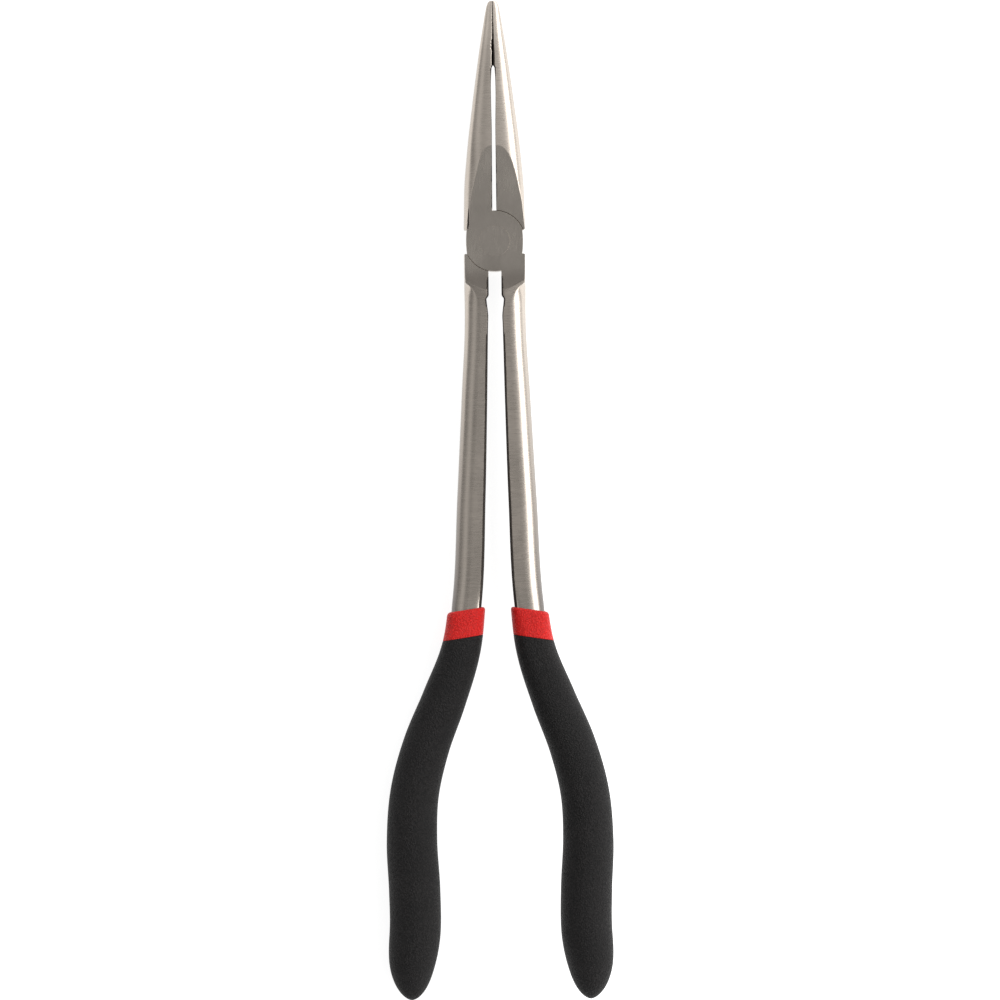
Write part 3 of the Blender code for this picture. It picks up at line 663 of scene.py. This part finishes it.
def mark_finishes(mesh):
    """Writes the ground attribute and the three attributes of painted shade, and marks the sharp edges, all
    as whole arrays.
    """

    def read(items, key, size, kind=float):
        values = np.empty(len(items) * size, kind)
        items.foreach_get(key, values)
        return values

    def write(name, domain, values):
        mesh.attributes.new(name, "FLOAT", domain).data.foreach_set("value", values.astype(np.float32))

    height = read(mesh.polygons, "center", 3)[2::3]
    level = np.abs(read(mesh.polygons, "normal", 3)[2::3]) > LEVEL
    ground = level & ((np.abs(height) < PLANE_BAND) | (np.abs(height - JOINT_THICKNESS) < PLANE_BAND))
    write("ground", "FACE", ground)

    face_of_loop = np.repeat(ground, read(mesh.polygons, "loop_total", 1, int))
    edge = read(mesh.loops, "edge_index", 1, int)
    ground_sides = np.bincount(edge, weights=face_of_loop, minlength=len(mesh.edges))
    mesh.shade_smooth()
    mesh.set_sharp_from_angle(angle=math.radians(30))
    sharp = read(mesh.attributes["sharp_edge"].data, "value", 1, bool)
    mesh.attributes["sharp_edge"].data.foreach_set("value", sharp | (ground_sides == 1))

    point = read(mesh.vertices, "co", 3)
    depth = -point[1::3]
    painted_shade_left, inwards = forge_skin(point)
    # painted shade, as a share at each point
    write("forge_skin", "POINT", painted_shade_left)
    # painted shade, darker towards the ground face's lower end
    write("ground_end", "POINT", fade(depth, GROUND_END))
    # painted shade along the bars' outer sides, growing towards the grips
    side_shade_share = ease(-inwards, *SIDE_SHADE_EDGE) * np.clip((depth - SIDE_SHADE_FROM) / SIDE_SHADE_LENGTH, 0, 1)
    write("dull_side", "POINT", side_shade_share)
    return ground


forging = piece("forging", handle_blank())
boolean(forging, jaw_blank(), "UNION")
boolean(forging, lap_blank(), "UNION")
boolean(forging, recess_cutter(), "DIFFERENCE")
boolean(forging, turned("rivet_seat", rivet_profile(RIVET_CLEARANCE, 0.3 * MM), RIVET_STEPS), "DIFFERENCE")
close_seams(forging.data)
ground_faces = mark_finishes(forging.data)
print(f"forging: {len(forging.data.polygons)} faces, {int(ground_faces.sum())} of them ground")

# %% [markdown]
# ## Two halves from one forging
# Both halves come from the same die. The left one is the right one turned half a turn about the tool's long
# axis, so its lap lies underneath. The turn is written into the mesh, and both objects stay at the origin.

# %% Place the two halves
turned_over = Matrix.Translation((0, 0, JOINT_THICKNESS)) @ Matrix.Rotation(math.pi, 4, "Y")
halves = {"right": forging.data, "left": forging.data.copy()}
halves["left"].transform(turned_over)
bpy.data.objects.remove(forging)
for side, mesh in halves.items():
    half = piece(f"{side}_forging", mesh)
    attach(half, f"{side}_side")
    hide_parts(f"{side}_half")

# %% [markdown]
# ## The grips
# A grip is moulded in two shots. The red one is a collar whose two ends slant down towards the outer side,
# with a thin skirt that runs on inside the black one. The black one is the long bowed sleeve, flush with
# the collar, and rounded off at its end. Both follow the handle's line, so each is one profile of
# (depth, section) rows: out along the outside, over a rounded edge, and back along the steel.

# %% Grip tables
COLLAR_SLANT = math.radians(8.7)
GRIP_END = 0.80  # share of the grip at which its end starts to round off
GRIP_SIDES = 96
LIP = 0.90 * MM  # rounding of the collar's upper edge
BUTT_EDGE = 0.10 * MM  # rounding where the two shots meet
STEEL_FIT = 0.04 * MM  # between the steel and the red shot, and between the two shots
SKIRT_WALL = 0.45 * MM
SKIRT_LENGTH = 14.0 * MM
COLLAR_ROWS, SKIRT_ROWS, BORE_ROWS, HOLLOW_ROWS, BODY_ROWS, END_ROWS = 12, 10, 24, 60, 110, 26
BEFORE_COLLAR, AFTER_COLLAR = (-12.0 * MM, -2.0 * MM), (2.0 * MM, 26.0 * MM)  # where the slant comes and goes
round_grip = 2 * math.pi * np.arange(GRIP_SIDES) / GRIP_SIDES

# depth below the pivot, how far the grip stands out from the bar across and up, power of its section
GRIP_SECTIONS = (
    (98.8, 1.00, 1.04, 4.2), (103.2, 1.09, 1.08, 3.7), (106.5, 1.16, 1.12, 3.0), (113.0, 1.33, 1.19, 2.6),
    (124.0, 1.91, 1.40, 2.4), (140.9, 2.46, 1.65, 2.15), (154.3, 2.70, 1.82, 2.05), (174.3, 3.04, 2.045, 2.0),
    (190.7, 3.05, 2.00, 2.0), (212.6, 2.90, 1.80, 2.0),
)


def grip_size(depth):
    """Half width, half thickness and power of the finished grip. Towards its end it is drawn in by
    (1 - t^3)^0.59, with t from 0 where the rounding starts to 1 at the very end."""
    share = (depth - GRIP_TOP) / GRIP_LENGTH
    t = np.clip((share - GRIP_END) / (1 - GRIP_END), 0, 1)
    drawn_in = (1 - t**3) ** 0.59
    width = (BAR_WIDTHS[-1][1] + through(GRIP_SECTIONS, 1, depth)) * MM * drawn_in
    height = (BAR_HALF_THICKNESS + through(GRIP_SECTIONS, 2, depth) * MM) * drawn_in
    return width, height, through(GRIP_SECTIONS, 3, depth)


def signed_power(value, exponent):
    """The size of each number raised to the exponent, with its own sign kept."""
    return np.sign(value) * np.abs(value) ** exponent


def slanted(depth):
    """Angle of the sections: the collar's slant beside the collar, square to the line away from it."""
    near = ease(depth, GRIP_TOP + BEFORE_COLLAR[0], GRIP_TOP + BEFORE_COLLAR[1])
    near = near * (1 - ease(depth, COLLAR_FOOT + AFTER_COLLAR[0], COLLAR_FOOT + AFTER_COLLAR[1]))
    square = line_angle(depth)
    return square + (-COLLAR_SLANT - square) * near


def grip_rows(depth, inset):
    """Rows of the grip's outside at the depths, drawn in by an inset: superellipses of the grip's size."""
    width, height, power = grip_size(depth)
    exponent = 2 / power[:, None]
    across = (width - inset)[:, None] * signed_power(np.cos(round_grip), exponent)
    up = (height - inset)[:, None] * signed_power(np.sin(round_grip), exponent)
    return on_handle(depth, across, up, slanted(depth))


def steel_rows(depth, grow):
    """Rows round the steel, grown all round, with as many points as the grip's outside. The outer and inner
    halves have their own reach and power, and meet at the crown."""
    size = np.array([size + grow for size in steel_size(depth)])
    outer_power, inner_power, in_grip = section_powers(depth)
    crown = ((size[0] - BAR_ROUNDING) * (1 - in_grip))[:, None]
    outside = np.cos(round_grip) >= 0
    power = np.where(outside, outer_power[:, None], inner_power[:, None])
    reach = np.where(outside, size[0][:, None] - crown, size[0][:, None] + crown)
    across = crown + reach * signed_power(np.cos(round_grip), 2 / power)
    up = size[1][:, None] * signed_power(np.sin(round_grip), 2 / power)
    return on_handle(depth, across, up, slanted(depth))


def rounded(radius, steps=7):
    """Insets and set-backs of a quarter round edge, from its end face out to its side."""
    a = np.linspace(0, math.pi / 2, steps)
    return radius * (1 - np.sin(a)), radius * (1 - np.cos(a))


# %% The collar


def collar_mesh():
    """One ring of rows: over the lip, down the outside, in over the butt face, down the skirt, and back up
    along the steel."""
    lip_inset, lip_back = rounded(LIP)
    butt_inset, butt_back = rounded(BUTT_EDGE, 4)
    side = np.linspace(GRIP_TOP + LIP + 0.5 * MM, COLLAR_FOOT - 0.6 * MM, COLLAR_ROWS)
    outside = np.concatenate([GRIP_TOP + lip_back, side, COLLAR_FOOT - butt_back[::-1]])
    inset = np.concatenate([lip_inset, np.zeros(COLLAR_ROWS), butt_inset[::-1]])
    skirt_depths = np.linspace(COLLAR_FOOT, COLLAR_FOOT + SKIRT_LENGTH, SKIRT_ROWS)
    inside = np.linspace(COLLAR_FOOT + SKIRT_LENGTH, GRIP_TOP + 0.05 * MM, BORE_ROWS)
    rows = [
        grip_rows(outside, inset),
        steel_rows(skirt_depths, STEEL_FIT + SKIRT_WALL),
        steel_rows(inside, STEEL_FIT),
    ]
    return skin("collar", np.concatenate(rows), "ring")


# %% The sleeve


def sleeve_mesh():
    """From the floor of the hollow up along the skirt, over the rounded butt edge and down to the rounded
    end, whose rows crowd where it closes, as the sine of an angle does."""
    hollow = STEEL_FIT + SKIRT_WALL + STEEL_FIT
    butt_inset, butt_back = rounded(BUTT_EDGE, 4)
    seam = COLLAR_FOOT + STEEL_FIT
    floor = TANG_END + 1.0 * MM
    inside = np.linspace(floor, seam, HOLLOW_ROWS)
    body = np.linspace(seam + 0.6 * MM, GRIP_TOP + GRIP_END * GRIP_LENGTH, BODY_ROWS)
    turn = np.radians(np.linspace(0, 89.0, END_ROWS)[1:])
    rounded_end = GRIP_TOP + GRIP_LENGTH * (GRIP_END + (1 - GRIP_END) * np.sin(turn))
    outside = np.concatenate([seam + butt_back, body, rounded_end])
    inset = np.concatenate([butt_inset, np.zeros(len(body) + len(rounded_end))])
    rows = [steel_rows(inside, hollow), grip_rows(outside, inset)]
    return skin("sleeve", np.concatenate(rows), "poles")


# %% Place the grips
for kind, mesh, node in (("collar", collar_mesh(), "grip_liner"), ("sleeve", sleeve_mesh(), "grip_sleeve")):
    mesh.shade_smooth()
    mesh.set_sharp_from_angle(angle=math.radians(50))
    sides = {"right": mesh, "left": mesh.copy()}
    sides["left"].transform(turned_over)
    for side, own_mesh in sides.items():
        made = piece(f"{side}_{kind}", own_mesh)
        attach(made, f"{side}_side")
        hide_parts(f"{side}_{node}")
    print(f"{kind}: {len(mesh.polygons)} faces")

# %% [markdown]
# ## Finishes
# A material is a small chain of nodes. The steel has two finishes on one forging: fine lines straight
# across from the linishing belt on the jaws and bars, and short crossing scratches from the surface
# grinder on the flats. Both are noise stretched along the scratch, about a tenth of a millimetre fine, and
# they drive the roughness, a faint change of colour and a shallow bump.

# %% Helpers for node materials
SPREAD = (0.3, 0.7)  # where most of a noise's values lie


def add_node(tree, kind, sources=(), out=0, **settings):
    """Adds a node and returns one of its outputs. The sources are links or values, in the order of its
    sockets or, as a dictionary, by the sockets' names or numbers."""
    made = tree.nodes.new(kind)
    for setting, value in settings.items():
        setattr(made, setting, value)
    for socket, source in sources.items() if isinstance(sources, dict) else enumerate(sources):
        if isinstance(source, bpy.types.NodeSocket):
            tree.links.new(source, made.inputs[socket])
        else:
            made.inputs[socket].default_value = source
    return made.outputs[out]


class Finish:
    """A material with a Principled shader, and short ways to add nodes to it."""

    def __init__(self, name, **sockets):
        self.material = bpy.data.materials.new(name)
        self.material.use_nodes = True
        self.tree = self.material.node_tree
        self.shader = self.tree.nodes["Principled BSDF"]
        for socket, value in sockets.items():
            self.shader.inputs[socket.replace("_", " ")].default_value = value
        self.place = add_node(self.tree, "ShaderNodeTexCoord", out="Object")

    def noise(self, per_metre, turn=(0, 0, 0), detail=3.0):
        """Noise whose grain size is set along each axis as cells per metre, after a turn in degrees."""
        sources = {"Vector": self.place, "Rotation": [math.radians(a) for a in turn], "Scale": per_metre}
        turned_place = add_node(self.tree, "ShaderNodeMapping", sources)
        sources = {"Vector": turned_place, "Scale": 1.0, "Detail": detail, "Roughness": 0.55}
        return add_node(self.tree, "ShaderNodeTexNoise", sources)

    def cells(self, per_metre):
        """Distance to the nearest of scattered points, which makes round pebbles."""
        sources = {"Vector": self.place, "Scale": per_metre, "Smoothness": 0.6}
        return add_node(self.tree, "ShaderNodeTexVoronoi", sources, "Distance", feature="SMOOTH_F1")

    def attribute(self, name):
        return add_node(self.tree, "ShaderNodeAttribute", out="Fac", attribute_name=name)

    def math(self, operation, first, second):
        return add_node(self.tree, "ShaderNodeMath", (first, second), operation=operation)

    def span(self, value, low, high, to_low, to_high):
        """Carries a value from one span to another, held at its ends."""
        return add_node(self.tree, "ShaderNodeMapRange", (value, low, high, to_low, to_high))

    def mix(self, share, first, second, kind="RGBA"):
        """The first colour or number where the share is 0, the second where it is 1."""
        place, out = {"RGBA": (6, 2), "FLOAT": (2, 0)}[kind]
        sources = {0: share, place: first, place + 1: second}
        return add_node(self.tree, "ShaderNodeMix", sources, out, data_type=kind)

    def bump(self, height, depth, strength):
        """Bump from a height of 0 to 1, with a depth in metres."""
        sources = {"Height": height, "Distance": depth, "Strength": strength}
        return add_node(self.tree, "ShaderNodeBump", sources)

    def set(self, **sources):
        for socket, source in sources.items():
            self.tree.links.new(source, self.shader.inputs[socket.replace("_", " ")])


# %% Steel
# each finish's darker and lighter tone, then the painted shade at the ground face's lower end and on the
# bars' outer sides, and the near-black painted shade in the slot, between the handles and beside the jaw's
# foot
BELT_TONES = (0.515, 0.46, 0.405, 1), (0.565, 0.505, 0.445, 1)
STONE_TONES = (0.495, 0.45, 0.40, 1), (0.54, 0.49, 0.435, 1)
GROUND_END_SHADE_TONE, SIDE_SHADE_TONE = (0.405, 0.36, 0.318, 1), (0.17, 0.155, 0.145, 1)
PAINTED_SHADE_TONE = (0.05, 0.043, 0.038, 1)
BELT_ROUGH, STONE_ROUGH, PAINTED_SHADE_ROUGH = (0.25, 0.32), (0.22, 0.28), 0.62
SCRATCH_DEPTH = 0.003 * MM


def ground_scratches(finish):
    """Short scratches in two crossing directions, as a surface grinder leaves them."""
    one = finish.noise((6200, 500, 900), turn=(0, 0, 24))
    other = finish.noise((5600, 600, 900), turn=(0, 0, -31))
    return finish.math("MULTIPLY", finish.math("ADD", one, other), 0.5)


def forged_steel():
    """Linished and ground steel, with painted shade in the slot, between the handles, beside the jaw's foot,
    at the ground face's lower end and along the bars' outer sides.
    """
    steel = Finish("linished_forged_steel", Metallic=1.0)
    lines = steel.noise((420, 8200, 420))
    cloud = steel.noise((140, 70, 140), detail=2.0)
    ground = steel.attribute("ground")
    grain = steel.mix(ground, lines, ground_scratches(steel), "FLOAT")
    tone = steel.span(grain, 0.35, 0.65, 0, 1)
    # the ground face is painted darker as shade towards its lower end
    flats = steel.mix(steel.attribute("ground_end"), steel.mix(tone, *STONE_TONES), GROUND_END_SHADE_TONE)
    # the bars' outer sides are painted darker as shade towards the grips
    belt_with_side_shade = steel.mix(steel.attribute("dull_side"), steel.mix(tone, *BELT_TONES), SIDE_SHADE_TONE)
    # painted shade: the steel turns nearly black in the slot, between the handles and beside the jaw's foot,
    # with ragged borders
    ragged = steel.span(steel.noise((900, 500, 900)), *SPREAD, -0.18, 0.18)
    painted_shade_share = steel.math("ADD", steel.attribute("forge_skin"), ragged)
    painted_shade_share = steel.span(painted_shade_share, 0.35, 0.65, 0, 1)
    colour = steel.mix(painted_shade_share, steel.mix(ground, belt_with_side_shade, flats), PAINTED_SHADE_TONE)
    belt, stone = (steel.span(grain, *SPREAD, *rough) for rough in (BELT_ROUGH, STONE_ROUGH))
    rough = steel.mix(ground, belt, stone, "FLOAT")
    rough = steel.math("ADD", rough, steel.span(cloud, *SPREAD, -0.03, 0.03))
    rough = steel.mix(painted_shade_share, rough, PAINTED_SHADE_ROUGH, "FLOAT")
    steel.set(Base_Color=colour, Roughness=rough, Normal=steel.bump(grain, SCRATCH_DEPTH, 0.3))
    return steel.material


def rivet_steel():
    """The rivet's faces were ground with the joint, so they carry the same scratches."""
    steel = Finish("ground_rivet_steel", Metallic=1.0)
    scratches = ground_scratches(steel)
    colour = steel.mix(steel.span(scratches, 0.35, 0.65, 0, 1), *STONE_TONES)
    rough = steel.span(scratches, *SPREAD, *STONE_ROUGH)
    steel.set(Base_Color=colour, Roughness=rough, Normal=steel.bump(scratches, SCRATCH_DEPTH, 0.5))
    return steel.material


# %% [markdown]
# The grips are a matt rubber-like plastic with a fine pebbled skin from the mould. The pebbles are the
# distance to scattered points, broken up by noise. The proud grains are painted a little lighter as
# highlight, and the hollows darker as painted shade.

# %% Grip plastic
PEBBLE_DEPTH = 0.16 * MM
# the colour of the hollows with painted shade, the colour of the proud grains with painted highlight, and the
# roughness
RED_GRIP = (0.47, 0.006, 0.004, 1), (0.70, 0.012, 0.009, 1), 0.46
BLACK_GRIP = (0.0012, 0.0010, 0.0009, 1), (0.0085, 0.0068, 0.0064, 1), 0.55


def grip_plastic(name, hollow, proud, roughness):
    """Pebbled elastomer: its colour between the hollows, painted darker as shade, and the proud grains,
    painted lighter as highlight.
    """
    plastic = Finish(name, Metallic=0.0)
    plastic.shader.inputs["Specular IOR Level"].default_value = 0.26
    pebbles = plastic.span(plastic.cells(2100), 0.0, 0.7, 1.0, 0.0)
    dust = plastic.noise((4200, 4200, 4200), detail=2.0)
    cloud = plastic.noise((120, 120, 120), detail=3.0)
    height = plastic.math("ADD", pebbles, plastic.span(dust, *SPREAD, -0.3, 0.3))
    shade = plastic.math("ADD", height, plastic.span(cloud, *SPREAD, -0.12, 0.12))
    # painted shade in the hollows and painted highlight on the proud grains, with a faint random cloud
    colour = plastic.mix(plastic.span(shade, 0.1, 0.9, 0, 1), hollow, proud)
    rough = plastic.span(shade, 0.1, 0.9, roughness + 0.08, roughness - 0.06)
    plastic.set(Base_Color=colour, Roughness=rough, Normal=plastic.bump(height, PEBBLE_DEPTH, 1.0))
    return plastic.material


# %% Give every piece its finish
FINISHES = {
    "forging": forged_steel(),
    "rivet": rivet_steel(),
    "collar": grip_plastic("pebbled_red_plastic", *RED_GRIP),
    "sleeve": grip_plastic("pebbled_black_plastic", *BLACK_GRIP),
}
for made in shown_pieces():
    kind = made.name.split("_")[-1]
    if kind in FINISHES:
        made.data.materials.clear()
        made.data.materials.append(FINISHES[kind])

# %% [markdown]
# ## Floor, light and camera
# The tool lies on a light table, its grips touching it, so the ground stays white even in the slots. A long
# softbox on the right, parallel to the tool, draws the white band along the right-hand flanks. Straight
# above it is dim, so the ground flats stay grey, and low on the left the room is dark, which draws the thin
# dark line along the left-hand flanks. The camera looks straight down from far away with a long lens, so
# the tool's outline is nearly free of perspective.

# %% Floor
floor_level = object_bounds()[0].z
FLOOR_SIZE = 8.0
GLOW_START, GLOW_END = -0.004, 0.030  # places across the tool between which the table grows brighter
LEFT_GLOW, RIGHT_GLOW = (0.86, 0.86, 0.86, 1), (1.3, 1.3, 1.3, 1)
half, under = FLOOR_SIZE / 2, floor_level - 0.02 * MM
corners = [(-half, -half, under), (half, -half, under), (half, half, under), (-half, half, under)]
floor_mesh = bpy.data.meshes.new("floor")
floor_mesh.from_pydata(corners, [], [(0, 1, 2, 3)])
floor = piece("floor", floor_mesh)
paper = Finish("lit_paper", Base_Color=(0.30, 0.30, 0.30, 1), Roughness=0.9, Emission_Strength=1.0)
across = add_node(paper.tree, "ShaderNodeSeparateXYZ", (paper.place,), "X")
glow = paper.span(across, GLOW_START, GLOW_END, 0, 1)
paper.set(Emission_Color=paper.mix(glow, LEFT_GLOW, RIGHT_GLOW))
floor.data.materials.append(paper.material)

# %% Room light
# angle from straight up, negative to the left, and the brightness of the room there
ROOM = (
    (-180, 0.9), (-95, 0.9), (-86, 0.65), (-80, 0.30), (-60, 0.28), (-50, 0.40), (-36, 0.60), (-25, 0.60),
    (-16, 0.22), (-8, 0.22), (0, 0.33), (12, 0.40), (24, 0.60), (30, 0.9), (60, 0.9), (180, 0.9),
)

# lean of a direction towards the tips' side, and the brightness added there: overhead only, and all across
TIP_PANEL, TIP_WALL = ((0.03, 0.0), (0.16, 0.13)), ((0.22, 0.0), (0.36, 0.55))
# the overhead panel's middle, and how far from it it starts and ends to fade, as angles round the long axis
PANEL_MIDDLE, PANEL_FADE = math.radians(2), (math.radians(5), math.radians(16))


def studio_room():
    """A room whose brightness depends on the angle round the tool's long axis, with a soft panel overhead and
    a paler wall towards the side of the jaw tips."""
    world = bpy.data.worlds.new("studio_room")
    world.use_nodes = True
    tree = world.node_tree
    direction = add_node(tree, "ShaderNodeTexCoord", out="Generated")
    x, y, z = add_node(tree, "ShaderNodeSeparateXYZ", (direction,)).node.outputs
    angle = add_node(tree, "ShaderNodeMath", (x, z), operation="ARCTAN2")
    share = add_node(tree, "ShaderNodeMapRange", (angle, -math.pi, math.pi))
    room = add_node(tree, "ShaderNodeValToRGB", (share,))
    stops = room.node.color_ramp.elements
    for degrees, brightness in ROOM[1:-1]:
        stops.new((degrees + 180) / 360).color = (brightness, brightness, brightness, 1)
    stops[0].color = stops[-1].color = (ROOM[0][1],) * 3 + (1,)

    def lean(start, end):
        return add_node(tree, "ShaderNodeMapRange", (y, start[0], end[0], start[1], end[1]))

    aside = add_node(tree, "ShaderNodeMath", (angle, PANEL_MIDDLE), operation="SUBTRACT")
    aside = add_node(tree, "ShaderNodeMath", (aside,), operation="ABSOLUTE")
    overhead = add_node(tree, "ShaderNodeMapRange", (aside, *PANEL_FADE, 1.0, 0.0))
    panel = add_node(tree, "ShaderNodeMath", (lean(*TIP_PANEL), overhead), operation="MULTIPLY")
    tip_side = add_node(tree, "ShaderNodeMath", (panel, lean(*TIP_WALL)), operation="ADD")
    total = add_node(tree, "ShaderNodeVectorMath", (room, tip_side), operation="ADD")
    tree.links.new(total, tree.nodes["Background"].inputs["Color"])
    return world


bpy.context.scene.world = studio_room()

# %% Softbox


def softbox(name, angle, distance, width, length, radiance):
    """A long area lamp parallel to the tool, at an angle from straight up and facing it. Its power is its
    radiance times pi times its area."""
    lamp = bpy.data.lights.new(name, "AREA")
    lamp.shape, lamp.size, lamp.size_y = "RECTANGLE", width, length
    lamp.energy = radiance * math.pi * width * length
    made = bpy.data.objects.new(name, lamp)
    bpy.context.scene.collection.objects.link(made)
    tilt = math.radians(angle)
    made.location = (distance * math.sin(tilt), -0.07, distance * math.cos(tilt))
    made.rotation_euler = (0, tilt, 0)
    return made


softbox("right_softbox", angle=45, distance=1.3, width=0.82, length=3.0, radiance=2.4)

# %% Camera
FRAME_WIDTH = 0.2804  # what the picture spans at the height of the joint's middle
CAMERA_DISTANCE = 2.5
FRAME_MIDDLE = (0.000839, -0.07255)  # a point between the handles
FRAME_TURN = math.radians(-0.533)
camera_data = bpy.data.cameras.new("camera")
camera_data.lens = camera_data.sensor_width * CAMERA_DISTANCE / FRAME_WIDTH
camera = bpy.data.objects.new("camera", camera_data)
bpy.context.scene.collection.objects.link(camera)
camera.location = (*FRAME_MIDDLE, MID + CAMERA_DISTANCE)
camera.rotation_euler = (0, 0, FRAME_TURN)
bpy.context.scene.camera = camera
bpy.context.scene.view_settings.view_transform = "Standard"
